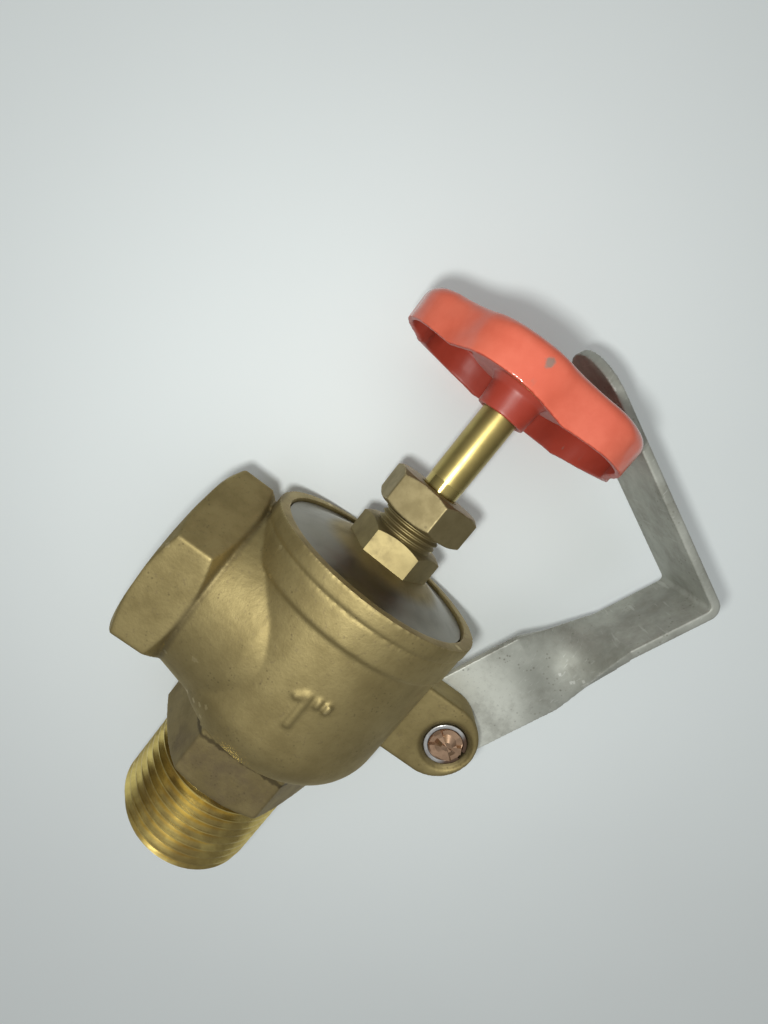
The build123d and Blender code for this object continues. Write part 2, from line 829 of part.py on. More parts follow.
export_step(hinge_rivet.part, "parts/hinge_rivet.step")
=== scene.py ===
import math

import bpy
from mathutils import Matrix, Vector


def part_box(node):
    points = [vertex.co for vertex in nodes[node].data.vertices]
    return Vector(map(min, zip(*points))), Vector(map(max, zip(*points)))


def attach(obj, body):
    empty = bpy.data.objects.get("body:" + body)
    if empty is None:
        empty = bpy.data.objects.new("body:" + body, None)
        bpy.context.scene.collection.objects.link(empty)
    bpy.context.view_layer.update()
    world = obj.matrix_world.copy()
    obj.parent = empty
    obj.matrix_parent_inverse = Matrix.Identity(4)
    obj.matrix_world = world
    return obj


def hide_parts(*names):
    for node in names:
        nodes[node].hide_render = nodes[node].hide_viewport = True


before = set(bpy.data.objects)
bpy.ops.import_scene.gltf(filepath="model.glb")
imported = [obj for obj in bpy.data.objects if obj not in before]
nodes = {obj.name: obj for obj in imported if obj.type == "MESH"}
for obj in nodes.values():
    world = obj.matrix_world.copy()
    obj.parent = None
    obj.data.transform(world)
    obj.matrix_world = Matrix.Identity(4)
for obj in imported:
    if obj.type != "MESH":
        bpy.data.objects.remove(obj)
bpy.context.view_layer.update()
scene = bpy.context.scene
scene.view_settings.view_transform = "Standard"
weldGap = 0.000002
print("frame loaded with", len(nodes), "nodes")


# hand tools

def deselectAll():
    if bpy.context.object and bpy.context.object.mode != "OBJECT":
        bpy.ops.object.mode_set(mode="OBJECT")
    bpy.ops.object.select_all(action="DESELECT")


def makeActive(piece):
    deselectAll()
    piece.select_set(True)
    bpy.context.view_layer.objects.active = piece


def editAll(piece):  # edit mode with the whole mesh selected
    makeActive(piece)
    bpy.ops.object.mode_set(mode="EDIT")
    bpy.ops.mesh.select_mode(type="VERT")
    bpy.ops.mesh.select_all(action="SELECT")


def leaveEdit():
    bpy.ops.object.mode_set(mode="OBJECT")


def namePiece(name):
    piece = bpy.context.object
    piece.name = name
    piece.data.name = name
    return piece


def settle(piece):  # place, turn and size go into the mesh
    makeActive(piece)
    bpy.ops.object.transform_apply(location=True, rotation=True, scale=True)


def copyNode(nodeName, name):  # a piece with a welded mesh of its own
    piece = bpy.data.objects.new(name, nodes[nodeName].data.copy())
    piece.data.name = name
    scene.collection.objects.link(piece)
    makeActive(piece)
    bpy.ops.mesh.customdata_custom_splitnormals_clear()
    editAll(piece)
    bpy.ops.mesh.remove_doubles(threshold=weldGap)
    leaveEdit()
    return piece


def applyModifier(piece, modifier):
    makeActive(piece)
    bpy.ops.object.modifier_apply(modifier=modifier.name)


def trim(piece, height, **cleared):  # level cut, closed with a face
    editAll(piece)
    bpy.ops.mesh.bisect(plane_co=(0, 0, height), plane_no=(0, 0, 1), use_fill=True, threshold=0.000001, **cleared)
    leaveEdit()


def keepAbove(piece, height):
    trim(piece, height, clear_inner=True)


def keepBelow(piece, height):
    trim(piece, height, clear_outer=True)


def combine(piece, other, operation):
    boolean = piece.modifiers.new("combine", "BOOLEAN")
    boolean.operation = operation
    boolean.solver = "MANIFOLD"
    boolean.object = other
    applyModifier(piece, boolean)
    bpy.data.objects.remove(other)


def joinTo(piece, others):
    makeActive(piece)
    for other in others:
        other.select_set(True)
    bpy.ops.object.join()


def smoothBy(piece, degrees):  # edges that turn by more stay sharp
    makeActive(piece)
    bpy.ops.object.shade_smooth_by_angle(angle=math.radians(degrees))


def softSkin(piece, form):  # even skin with rounded edges, as cast or tumbled
    remesh = piece.modifiers.new("skin", "REMESH")
    remesh.mode = "VOXEL"
    remesh.voxel_size = form["voxel"]
    applyModifier(piece, remesh)
    smooth = piece.modifiers.new("soften", "SMOOTH")
    smooth.factor = 0.5
    smooth.iterations = form["rounds"]
    applyModifier(piece, smooth)
    if "share" in form:
        thin = piece.modifiers.new("thin", "DECIMATE")
        thin.ratio = form["share"]
        applyModifier(piece, thin)
    makeActive(piece)
    bpy.ops.object.shade_smooth()
    print(piece.name, len(piece.data.polygons), "faces")


def easeEdges(piece, width):  # small edge breaks left by the lathe
    editAll(piece)
    bpy.ops.mesh.dissolve_limited(angle_limit=math.radians(0.02))
    leaveEdit()
    bevel = piece.modifiers.new("edges", "BEVEL")
    bevel.width = width
    bevel.segments = 3
    bevel.limit_method = "ANGLE"
    bevel.angle_limit = math.radians(30)
    bevel.use_clamp_overlap = True
    applyModifier(piece, bevel)
    smoothBy(piece, 32)


def drawLine(name, points):  # one vertex drawn out along the points
    deselectAll()
    bpy.ops.mesh.primitive_plane_add(size=0.0002, location=points[0])
    line = namePiece(name)
    settle(line)
    editAll(line)
    bpy.ops.mesh.merge(type="CENTER")
    for here, there in zip(points, points[1:]):
        bpy.ops.mesh.extrude_region_move(TRANSFORM_OT_translate={"value": Vector(there) - Vector(here)})
    leaveEdit()
    return line


def spinLine(line, steps, rise=0.0, turns=1):  # turned about the z axis, as a screw where it rises
    screw = line.modifiers.new("spin", "SCREW")
    screw.axis = "Z"
    screw.angle = math.tau
    screw.screw_offset = rise
    screw.iterations = turns
    screw.steps = steps
    screw.render_steps = steps
    applyModifier(line, screw)
    editAll(line)
    bpy.ops.mesh.remove_doubles(threshold=weldGap)
    bpy.ops.mesh.normals_make_consistent(inside=False)
    leaveEdit()


def threadRod(name, thread):  # screw surface cut square at both ends
    step, land = thread["pitch"], thread["land"]
    root, crest = thread["root"], thread["crest"]
    flank = crest - 0.25 * (crest - root)
    start = thread["bottom"] - 2 * step
    middle = start + step / 2
    rod = drawLine(name, [
        (root, 0, start), (root, 0, start + land),
        (flank, 0, middle - land * 0.75), (crest, 0, middle - land * 0.2),
        (crest, 0, middle + land * 0.6), (flank, 0, middle + land * 1.15),
        (root, 0, start + step)])
    spinLine(rod, 72, step, int((thread["top"] - thread["bottom"]) / step) + 5)
    keepAbove(rod, thread["bottom"])
    keepBelow(rod, thread["top"])
    editAll(rod)
    bpy.ops.mesh.normals_make_consistent(inside=False)
    leaveEdit()
    return rod


# shader helpers

def groupOf(name, inputs, outputs):  # an input without a number takes a vector
    group = bpy.data.node_groups.new(name, "ShaderNodeTree")
    for label, value in inputs.items():
        kind = "NodeSocketVector" if value is None else "NodeSocketFloat"
        socket = group.interface.new_socket(name=label, in_out="INPUT", socket_type=kind)
        if value is not None:
            socket.default_value = value
    for label in outputs:
        group.interface.new_socket(name=label, in_out="OUTPUT", socket_type="NodeSocketFloat")
    return group, group.nodes.new("NodeGroupInput").outputs, group.nodes.new("NodeGroupOutput").inputs


def addNode(tree, kind, **values):
    node = tree.nodes.new(kind)
    for key, value in values.items():
        setattr(node, key, value)
    return node


def feed(tree, value, socket):  # a link, or a plain value
    if isinstance(value, bpy.types.NodeSocket):
        tree.links.new(value, socket)
    else:
        socket.default_value = value


def mathStep(tree, operation, *values):
    node = addNode(tree, "ShaderNodeMath", operation=operation)
    for value, socket in zip(values, node.inputs):
        feed(tree, value, socket)
    return node.outputs[0]


def vectorStep(tree, operation, *values):
    node = addNode(tree, "ShaderNodeVectorMath", operation=operation)
    for value, socket in zip(values, node.inputs):
        feed(tree, value, socket)
    return node.outputs["Value" if operation in ("LENGTH", "DISTANCE", "DOT_PRODUCT") else "Vector"]


def fadeStep(tree, value, start, end):  # soft rise from 0 at the start to 1 at the end
    node = addNode(tree, "ShaderNodeMapRange", interpolation_type="SMOOTHSTEP")
    tree.links.new(value, node.inputs["Value"])
    node.inputs["From Min"].default_value = start
    node.inputs["From Max"].default_value = end
    return node.outputs["Result"]


def noiseOf(tree, vector, scale, detail=2.0, rough=0.5):
    node = addNode(tree, "ShaderNodeTexNoise")
    tree.links.new(vector, node.inputs["Vector"])
    feed(tree, scale, node.inputs["Scale"])
    node.inputs["Detail"].default_value = detail
    node.inputs["Roughness"].default_value = rough
    return node.outputs["Fac"]


def wander(tree, vector, scale, detail, reach):  # noise about zero
    return mathStep(tree, "MULTIPLY", mathStep(tree, "SUBTRACT", noiseOf(tree, vector, scale, detail), 0.5), reach)


def gapFrom(tree, value, level):
    return mathStep(tree, "ABSOLUTE", mathStep(tree, "SUBTRACT", value, level))


def reachOf(tree, place, across):  # distance from an axis
    return vectorStep(tree, "LENGTH", vectorStep(tree, "MULTIPLY", place, across))


def axesOf(tree, place):
    split = addNode(tree, "ShaderNodeSeparateXYZ")
    tree.links.new(place, split.inputs[0])
    return split.outputs


def mixColour(tree, share, first, second):
    node = addNode(tree, "ShaderNodeMix", data_type="RGBA")
    feed(tree, share, node.inputs[0])
    for slot, value in ((6, first), (7, second)):
        feed(tree, (*value, 1) if isinstance(value, tuple) else value, node.inputs[slot])
    return node.outputs[2]


def layer(tree, tone, mask, share, colour):  # colour laid over the tone where the mask is
    return mixColour(tree, mathStep(tree, "MULTIPLY", mask, share), tone, colour)


# grain, mottling and pits of a blasted casting
castSkin, given, made = groupOf(
    "castSkin", {"Vector": None, "Grain Scale": 1600.0, "Patch Scale": 120.0, "Pit Scale": 420.0},
    ["Grain", "Patch", "Pits"])
grainFine = noiseOf(castSkin, given["Vector"], given["Grain Scale"], 3.0, 0.6)
grainBroad = noiseOf(castSkin, given["Vector"], mathStep(castSkin, "MULTIPLY", given["Grain Scale"], 0.32))
grain = mathStep(castSkin, "ADD", grainFine, mathStep(castSkin, "MULTIPLY", grainBroad, 0.8))
castSkin.links.new(grain, made["Grain"])
mottle = noiseOf(castSkin, given["Vector"], given["Patch Scale"], 5.0, 0.62)
castSkin.links.new(fadeStep(castSkin, mottle, 0.32, 0.68), made["Patch"])
pitCells = addNode(castSkin, "ShaderNodeTexVoronoi")
castSkin.links.new(given["Vector"], pitCells.inputs["Vector"])
castSkin.links.new(given["Pit Scale"], pitCells.inputs["Scale"])
pitGate = fadeStep(castSkin, noiseOf(castSkin, given["Vector"], 160.0, 3.0), 0.52, 0.66)
pits = fadeStep(castSkin, pitCells.outputs["Distance"], 0.30, 0.12)
castSkin.links.new(mathStep(castSkin, "MULTIPLY", pits, pitGate), made["Pits"])

# worn edges, and painted shade in hollows, from the surface's own curvature
edgeTone, given, made = groupOf("edgeTone", {"Pointiness": 0.5, "Vector": None, "Reach": 0.05}, ["Edge", "Hollow Shade"])
broken = wander(edgeTone, given["Vector"], 500.0, 4.0, 0.06)
bend = mathStep(edgeTone, "ADD", mathStep(edgeTone, "SUBTRACT", given["Pointiness"], 0.5), broken)
bend = mathStep(edgeTone, "DIVIDE", bend, given["Reach"])
edgeTone.links.new(fadeStep(edgeTone, bend, 0.45, 1.3), made["Edge"])
edgeTone.links.new(fadeStep(edgeTone, bend, -0.5, -1.5), made["Hollow Shade"])

# rings left by the lathe tool, across flat faces and along round ones
latheMarks, given, made = groupOf("latheMarks", {"Vector": None, "Fineness": 4000.0}, ["Rings", "Tone"])
along = mathStep(latheMarks, "ADD", reachOf(latheMarks, given["Vector"], (1, 1, 0)), axesOf(latheMarks, given["Vector"])["Z"])
ringNoise = addNode(latheMarks, "ShaderNodeTexNoise", noise_dimensions="1D")
latheMarks.links.new(along, ringNoise.inputs["W"])
latheMarks.links.new(given["Fineness"], ringNoise.inputs["Scale"])
ringNoise.inputs["Detail"].default_value = 2.0
latheMarks.links.new(ringNoise.outputs["Fac"], made["Rings"])
tarnish = noiseOf(latheMarks, given["Vector"], 170.0, 4.0, 0.6)
latheMarks.links.new(fadeStep(latheMarks, tarnish, 0.3, 0.7), made["Tone"])

# stains, fine rubbed lines and specks
handling, given, made = groupOf("handling", {"Vector": None, "Stain Scale": 140.0}, ["Stain", "Lines", "Speckle"])
stains = noiseOf(handling, given["Vector"], given["Stain Scale"], 6.0, 0.65)
handling.links.new(fadeStep(handling, stains, 0.42, 0.72), made["Stain"])
lineMap = addNode(handling, "ShaderNodeMapping")
lineMap.inputs["Rotation"].default_value = (0.5, 0.7, 0.3)
lineMap.inputs["Scale"].default_value = (2600.0, 120.0, 500.0)
handling.links.new(given["Vector"], lineMap.inputs["Vector"])
handling.links.new(fadeStep(handling, noiseOf(handling, lineMap.outputs[0], 1.0), 0.62, 0.75), made["Lines"])
handling.links.new(fadeStep(handling, noiseOf(handling, given["Vector"], 1500.0), 0.60, 0.72), made["Speckle"])
print("shader groups made")


def finishOf(name):  # a fresh material with its tree, shader and object coordinates
    material = bpy.data.materials.new(name)
    material.use_nodes = True
    tree = material.node_tree
    place = tree.nodes.new("ShaderNodeTexCoord").outputs["Object"]
    return material, tree, tree.nodes["Principled BSDF"], place


def useGroup(tree, group, place, **values):
    node = addNode(tree, "ShaderNodeGroup", node_tree=group)
    tree.links.new(place, node.inputs["Vector"])
    for label, value in values.items():
        feed(tree, value, node.inputs[label.replace("_", " ")])
    return node.outputs


def useEdges(tree, place, reach):
    pointiness = tree.nodes.new("ShaderNodeNewGeometry").outputs["Pointiness"]
    return useGroup(tree, edgeTone, place, Pointiness=pointiness, Reach=reach)


def closeFinish(tree, shader, tone, rough, metallic=1.0):
    tree.links.new(tone, shader.inputs["Base Color"])
    tree.links.new(rough, shader.inputs["Roughness"])
    shader.inputs["Metallic"].default_value = metallic


def bumpFrom(tree, shader, height, strength, distance):
    bump = tree.nodes.new("ShaderNodeBump")
    bump.inputs["Strength"].default_value = strength
    bump.inputs["Distance"].default_value = distance
    tree.links.new(height, bump.inputs["Height"])
    tree.links.new(bump.outputs["Normal"], shader.inputs["Normal"])


def dress(material, *nodeNames):
    for nodeName in nodeNames:
        for slot in nodes[nodeName].material_slots:
            slot.material = material


def paintPiece(piece, material):
    piece.data.materials.clear()
    piece.data.materials.append(material)
    for face in piece.data.polygons:
        face.material_index = 0


# blasted brass of the casting, browned on the inlet's hexagon, with a dark ragged line at the join above it, painted
# shade in hollows and painted shadow at the outlet hexagon's shoulder and round the hinge pin
# the dirt colour serves for the pits and the join line, and also as painted shade and painted shadow
castLook = {"pale": (0.36, 0.291, 0.134), "deep": (0.265, 0.211, 0.094), "worn": (0.54, 0.445, 0.23),
            "dirt": (0.085, 0.065, 0.036), "brown": (0.21, 0.162, 0.092), "rough": 0.66,
            "hexFade": (0.0311, 0.0299), "join": 0.0308, "joinWander": 0.0018, "joinFade": (0.0008, 0.0002),
            "wornFade": (0.0030, 0.0055), "port": -0.0257, "portShadowFade": (0.0014, 0.0002),
            "pin": (0.0371, 0.0, 0.0523), "pinShadowFade": (0.0063, 0.0053)}
castBrass, tree, shader, place = finishOf("castBrass")
skin = useGroup(tree, castSkin, place, Pit_Scale=1100.0)
wear = useGroup(tree, handling, place, Stain_Scale=150.0)
edges = useEdges(tree, place, 0.065)
axes = axesOf(tree, place)
stained = mathStep(tree, "MULTIPLY_ADD", wear["Stain"], 0.6, 0.25)
lowHex = mathStep(tree, "MULTIPLY", fadeStep(tree, axes["Z"], *castLook["hexFade"]), stained)
# a dark ragged line along the join above the inlet hexagon
joinGap = gapFrom(tree, axes["Z"], castLook["join"])
ragged = mathStep(tree, "ADD", wander(tree, place, 700.0, 3.0, castLook["joinWander"]), joinGap)
joinLineAndShadow = fadeStep(tree, ragged, *castLook["joinFade"])
# painted shadow: a dark band along the outlet hexagon's inner shoulder, where its overhang casts shade
portShadow = fadeStep(tree, gapFrom(tree, axes["X"], castLook["port"]), *castLook["portShadowFade"])
joinLineAndShadow = mathStep(tree, "MAXIMUM", joinLineAndShadow, mathStep(tree, "MULTIPLY", portShadow, 0.6))
# painted shadow: a dark ring round the hinge pin, in the countersink of its hole
pinReach = reachOf(tree, vectorStep(tree, "SUBTRACT", place, castLook["pin"]), (1, 0, 1))
pinShadow = fadeStep(tree, pinReach, *castLook["pinShadowFade"])
joinLineAndShadow = mathStep(tree, "MAXIMUM", joinLineAndShadow, mathStep(tree, "MULTIPLY", pinShadow, 0.8))
worn = mathStep(tree, "MULTIPLY", edges["Edge"], fadeStep(tree, joinGap, *castLook["wornFade"]))
tone = mixColour(tree, skin["Patch"], castLook["deep"], castLook["pale"])
tone = layer(tree, tone, wear["Speckle"], 0.32, castLook["brown"])
tone = mixColour(tree, lowHex, tone, castLook["brown"])
tone = layer(tree, tone, skin["Pits"], 0.4, castLook["dirt"])
# painted shade in the hollows, laid on in the dirt colour
tone = layer(tree, tone, edges["Hollow Shade"], 0.75, castLook["dirt"])
tone = layer(tree, tone, worn, 0.7, castLook["worn"])
# the join line and the painted shadows, laid on in the dirt colour
tone = layer(tree, tone, joinLineAndShadow, 0.8, castLook["dirt"])
rough = mathStep(tree, "MULTIPLY_ADD", skin["Patch"], -0.06, castLook["rough"])
closeFinish(tree, shader, tone, mathStep(tree, "MULTIPLY_ADD", worn, -0.12, rough))
bumpFrom(tree, shader, skin["Grain"], 0.35, 0.00012)

# fresh cut brass of the inlet thread
threadLook = {"gold": (0.82, 0.65, 0.225), "brown": (0.47, 0.345, 0.12), "rough": 0.17}
threadBrass, tree, shader, place = finishOf("threadBrass")
marks = useGroup(tree, latheMarks, place, Fineness=5200.0)
wear = useGroup(tree, handling, place, Stain_Scale=220.0)
tone = mixColour(tree, marks["Tone"], threadLook["gold"], threadLook["brown"])
tone = layer(tree, tone, wear["Stain"], 0.45, threadLook["brown"])
closeFinish(tree, shader, tone, mathStep(tree, "MULTIPLY_ADD", marks["Rings"], 0.12, threadLook["rough"]))
bumpFrom(tree, shader, marks["Rings"], 0.3, 0.00004)

# turned brass of the bonnet and of the pieces inside; the wide flange is smoother and toned grey as a painted
# reflection of grey surroundings
turnedLook = {"pale": (0.305, 0.249, 0.119), "deep": (0.245, 0.197, 0.092), "dirt": (0.14, 0.11, 0.07),
              "grey": (0.175, 0.17, 0.146), "greyReflectionFade": (0.012, 0.016), "rough": 0.57}
turnedBrass, tree, shader, place = finishOf("turnedBrass")
marks = useGroup(tree, latheMarks, place, Fineness=3600.0)
wear = useGroup(tree, handling, place, Stain_Scale=190.0)
greyReflection = fadeStep(tree, reachOf(tree, place, (1, 1, 0)), *turnedLook["greyReflectionFade"])
tone = mixColour(tree, marks["Tone"], turnedLook["deep"], turnedLook["pale"])
tone = layer(tree, tone, wear["Stain"], 0.3, turnedLook["dirt"])
# painted reflection: the wide flange toned grey
tone = layer(tree, tone, greyReflection, 0.85, turnedLook["grey"])
rough = mathStep(tree, "MULTIPLY_ADD", wear["Stain"], 0.08, turnedLook["rough"])
closeFinish(tree, shader, tone, mathStep(tree, "MULTIPLY_ADD", greyReflection, -0.22, rough))
bumpFrom(tree, shader, marks["Rings"], 0.12, 0.00003)

# satin brass of the gland nut
nutLook = {"pale": (0.30, 0.247, 0.129), "deep": (0.245, 0.199, 0.10), "worn": (0.62, 0.52, 0.285),
           "dirt": (0.085, 0.065, 0.036), "rough": 0.64}
nutBrass, tree, shader, place = finishOf("nutBrass")
skin = useGroup(tree, castSkin, place, Grain_Scale=2600.0, Patch_Scale=260.0, Pit_Scale=700.0)
edges = useEdges(tree, place, 0.045)
tone = mixColour(tree, skin["Patch"], nutLook["deep"], nutLook["pale"])
tone = layer(tree, tone, skin["Pits"], 0.4, nutLook["dirt"])
tone = layer(tree, tone, edges["Edge"], 0.8, nutLook["worn"])
rough = mathStep(tree, "MULTIPLY_ADD", skin["Patch"], -0.06, nutLook["rough"])
closeFinish(tree, shader, tone, mathStep(tree, "MULTIPLY_ADD", edges["Edge"], -0.14, rough))
bumpFrom(tree, shader, skin["Grain"], 0.16, 0.00006)

# polished stem, brightest where it slides in the packing
stemLook = {"gold": (0.47, 0.375, 0.135), "brown": (0.32, 0.25, 0.09), "bandFade": (0.0994, 0.0990), "rough": 0.36}
stemBrass, tree, shader, place = finishOf("stemBrass")
marks = useGroup(tree, latheMarks, place, Fineness=6000.0)
wear = useGroup(tree, handling, place, Stain_Scale=260.0)
band = fadeStep(tree, axesOf(tree, place)["Z"], *stemLook["bandFade"])
tone = layer(tree, stemLook["gold"], marks["Tone"], 0.55, stemLook["brown"])
tone = layer(tree, tone, band, 0.7, stemLook["gold"])
rough = mathStep(tree, "MULTIPLY_ADD", wear["Stain"], 0.08, stemLook["rough"])
closeFinish(tree, shader, tone, mathStep(tree, "MULTIPLY_ADD", band, -0.24, rough))
bumpFrom(tree, shader, marks["Rings"], 0.1, 0.00002)

# thick glossy red paint, rougher inside, darker red inside and underneath as painted shade, with chips down to the
# steel
paintLook = {"red": (0.585, 0.128, 0.074), "dull": (0.525, 0.098, 0.053), "inner": (0.36, 0.045, 0.024),
             "steel": (0.22, 0.13, 0.10), "rough": 0.17, "gloss": 0.55, "ragged": 0.0016, "waviness": 45.0,
             "chips": [(-0.0039, -0.0263, 0.1246, 0.0011), (0.0258, 0.0053, 0.1265, 0.0009),
                       (0.0083, 0.0250, 0.1266, 0.0010), (-0.0178, 0.0201, 0.1220, 0.0008)]}
redPaint, tree, shader, place = finishOf("redPaint")
skin = useGroup(tree, castSkin, place, Grain_Scale=520.0, Patch_Scale=110.0, Pit_Scale=600.0)
wear = useGroup(tree, handling, place, Stain_Scale=130.0)
edges = useEdges(tree, place, 0.06)
inner = addNode(tree, "ShaderNodeAttribute", attribute_name="shadedInside").outputs["Fac"]
ragged = wander(tree, place, 900.0, 4.0, paintLook["ragged"])
rubbed = mathStep(tree, "MULTIPLY", edges["Edge"], fadeStep(tree, noiseOf(tree, place, 210.0, 3.0), 0.56, 0.66))
bare = mathStep(tree, "MULTIPLY", rubbed, 0.6)
for x, y, z, reach in paintLook["chips"]:
    gap = mathStep(tree, "ADD", vectorStep(tree, "DISTANCE", place, (x, y, z)), ragged)
    bare = mathStep(tree, "MAXIMUM", bare, fadeStep(tree, gap, reach, reach * 0.45))
tone = mixColour(tree, skin["Patch"], paintLook["dull"], paintLook["red"])
# painted shade: darker red on faces turned inwards, on faces turned downwards and on the hub collar
tone = mixColour(tree, inner, tone, paintLook["inner"])
tone = mixColour(tree, bare, tone, paintLook["steel"])
rough = mathStep(tree, "MULTIPLY_ADD", wear["Stain"], 0.08, paintLook["rough"])
rough = mathStep(tree, "MULTIPLY_ADD", inner, 0.22, rough)
closeFinish(tree, shader, tone, mathStep(tree, "MULTIPLY_ADD", bare, 0.3, rough), 0.0)
shader.inputs["Specular IOR Level"].default_value = paintLook["gloss"]
peel = mathStep(tree, "SUBTRACT", skin["Grain"], mathStep(tree, "MULTIPLY", bare, 2.0))
waves = mathStep(tree, "MULTIPLY_ADD", noiseOf(tree, place, 150.0, 1.0), paintLook["waviness"], peel)
bumpFrom(tree, shader, waves, 0.12, 0.00012)

# zinc coat of the strap, stained and rubbed, with painted light: paler near the hinge
zincLook = {"pale": (0.43, 0.44, 0.388), "deep": (0.31, 0.317, 0.275), "stain": (0.15, 0.14, 0.11),
            "worn": (0.66, 0.67, 0.62), "foot": (0.70, 0.715, 0.64), "rough": 0.60, "metallic": 0.6,
            "hinge": (0.0371, 0.0065, 0.0523), "footLightFade": (0.0265, 0.014)}
zincStrap, tree, shader, place = finishOf("zincStrap")
skin = useGroup(tree, castSkin, place, Grain_Scale=900.0, Patch_Scale=90.0, Pit_Scale=900.0)
wear = useGroup(tree, handling, place, Stain_Scale=120.0)
edges = useEdges(tree, place, 0.06)
paintedFootLight = fadeStep(tree, vectorStep(tree, "DISTANCE", place, zincLook["hinge"]), *zincLook["footLightFade"])
tone = mixColour(tree, skin["Patch"], zincLook["deep"], zincLook["pale"])
# painted light: the foot near the hinge paler, fading towards the twist
tone = layer(tree, tone, paintedFootLight, 0.85, zincLook["foot"])
tone = layer(tree, tone, wear["Stain"], 0.4, zincLook["stain"])
tone = layer(tree, tone, wear["Lines"], 0.3, zincLook["worn"])
tone = layer(tree, tone, skin["Pits"], 0.6, zincLook["stain"])
tone = layer(tree, tone, wear["Speckle"], 0.3, zincLook["deep"])
tone = layer(tree, tone, edges["Edge"], 0.55, zincLook["worn"])
rough = mathStep(tree, "MULTIPLY_ADD", wear["Stain"], 0.08, zincLook["rough"])
closeFinish(tree, shader, tone, rough, zincLook["metallic"])
bumpFrom(tree, shader, skin["Grain"], 0.14, 0.00008)

# bright zinc of the wheel's nut and washer
boltLook = {"zinc": (0.62, 0.62, 0.58), "stain": (0.30, 0.27, 0.21), "worn": (0.75, 0.75, 0.72), "rough": 0.28}
zincSteel, tree, shader, place = finishOf("zincSteel")
wear = useGroup(tree, handling, place, Stain_Scale=300.0)
tone = layer(tree, boltLook["zinc"], wear["Stain"], 0.6, boltLook["stain"])
tone = layer(tree, tone, wear["Lines"], 0.4, boltLook["worn"])
closeFinish(tree, shader, tone, mathStep(tree, "MULTIPLY_ADD", wear["Stain"], 0.2, boltLook["rough"]))
bumpFrom(tree, shader, wear["Speckle"], 0.1, 0.00004)

# spring steel of the slotted sleeve, with copper smeared over one side
sleeveLook = {"steel": (0.60, 0.60, 0.59), "stain": (0.24, 0.21, 0.19), "smear": (0.15, 0.095, 0.065),
              "smearFade": (0.0377, 0.0401), "rough": 0.24}
springSteel, tree, shader, place = finishOf("springSteel")
wear = useGroup(tree, handling, place, Stain_Scale=420.0)
smeared = fadeStep(tree, axesOf(tree, place)["X"], *sleeveLook["smearFade"])
tone = layer(tree, sleeveLook["steel"], wear["Stain"], 0.5, sleeveLook["stain"])
tone = mixColour(tree, smeared, tone, sleeveLook["smear"])
closeFinish(tree, shader, tone, mathStep(tree, "MULTIPLY_ADD", wear["Stain"], 0.2, sleeveLook["rough"]))
bumpFrom(tree, shader, wear["Lines"], 0.15, 0.00003)

# copper of the rivet
copperLook = {"copper": (0.44, 0.29, 0.19), "stain": (0.20, 0.127, 0.082), "rough": 0.34}
rivetCopper, tree, shader, place = finishOf("rivetCopper")
wear = useGroup(tree, handling, place, Stain_Scale=520.0)
tone = layer(tree, copperLook["copper"], wear["Stain"], 0.55, copperLook["stain"])
closeFinish(tree, shader, tone, mathStep(tree, "MULTIPLY_ADD", wear["Stain"], 0.2, copperLook["rough"]))
bumpFrom(tree, shader, wear["Speckle"], 0.2, 0.00005)


def softFinish(name, dark, pale, scale, rough, strength):  # rubber, fibre and packing
    material, tree, shader, place = finishOf(name)
    skin = useGroup(tree, castSkin, place, Grain_Scale=scale, Patch_Scale=300.0)
    rough = mathStep(tree, "MULTIPLY_ADD", skin["Patch"], 0.1, rough)
    closeFinish(tree, shader, mixColour(tree, skin["Patch"], dark, pale), rough, 0.0)
    bumpFrom(tree, shader, skin["Grain"], strength, 0.0001)
    return material


sealRubber = softFinish("sealRubber", (0.018, 0.018, 0.019), (0.035, 0.034, 0.033), 2000.0, 0.55, 0.2)
gasketFibre = softFinish("gasketFibre", (0.16, 0.05, 0.035), (0.26, 0.09, 0.06), 3200.0, 0.7, 0.5)
packingCord = softFinish("packingCord", (0.05, 0.05, 0.05), (0.12, 0.118, 0.11), 2600.0, 0.5, 0.6)
print("finishes made")


# body casting: soft cast skin, raised size mark, tapped outlet
bodyCast = {"shoulder": 0.0194, "voxel": 0.00040, "rounds": 3, "share": 0.52, "sharp": 38,
            "discTravel": 0.012, "seatReach": 0.0145, "seatBand": 0.0008, "seatFacing": 0.15, "seatDrop": 0.0003}
sizeMark = {"face": -0.0255, "back": -0.0240, "edge": 0.0003,
            "strokes": [((0.0005, 0.0519), (0.0013, 0.0080), 0.0), ((-0.0007, 0.0547), (0.0030, 0.0012), -40.0),
                        ((0.0027, 0.0551), (0.0011, 0.0020), 0.0), ((0.0047, 0.0551), (0.0011, 0.0020), 0.0)]}
outletTap = {"root": 0.01500, "crest": 0.01640, "pitch": 0.002309, "land": 0.00042, "bottom": 0.0236, "top": 0.0385,
             "axisHeight": 0.052}
bodyCasting = copyNode("body", "bodyCasting")
keepAbove(bodyCasting, bodyCast["shoulder"])
markPieces = []
for (x, z), (wide, tall), turn in sizeMark["strokes"]:
    deselectAll()
    bpy.ops.mesh.primitive_cube_add(size=1, location=(x, (sizeMark["face"] + sizeMark["back"]) / 2, z),
                                    rotation=(0, math.radians(turn), 0))
    stroke = namePiece("markStroke")
    stroke.scale = (wide, sizeMark["back"] - sizeMark["face"], tall)
    settle(stroke)
    editAll(stroke)
    bpy.ops.mesh.bevel(offset=sizeMark["edge"], segments=2, affect="EDGES")
    leaveEdit()
    markPieces.append(stroke)
joinTo(bodyCasting, markPieces)
softSkin(bodyCasting, bodyCast)
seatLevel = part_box("disc_washer")[0][2] - bodyCast["discTravel"]
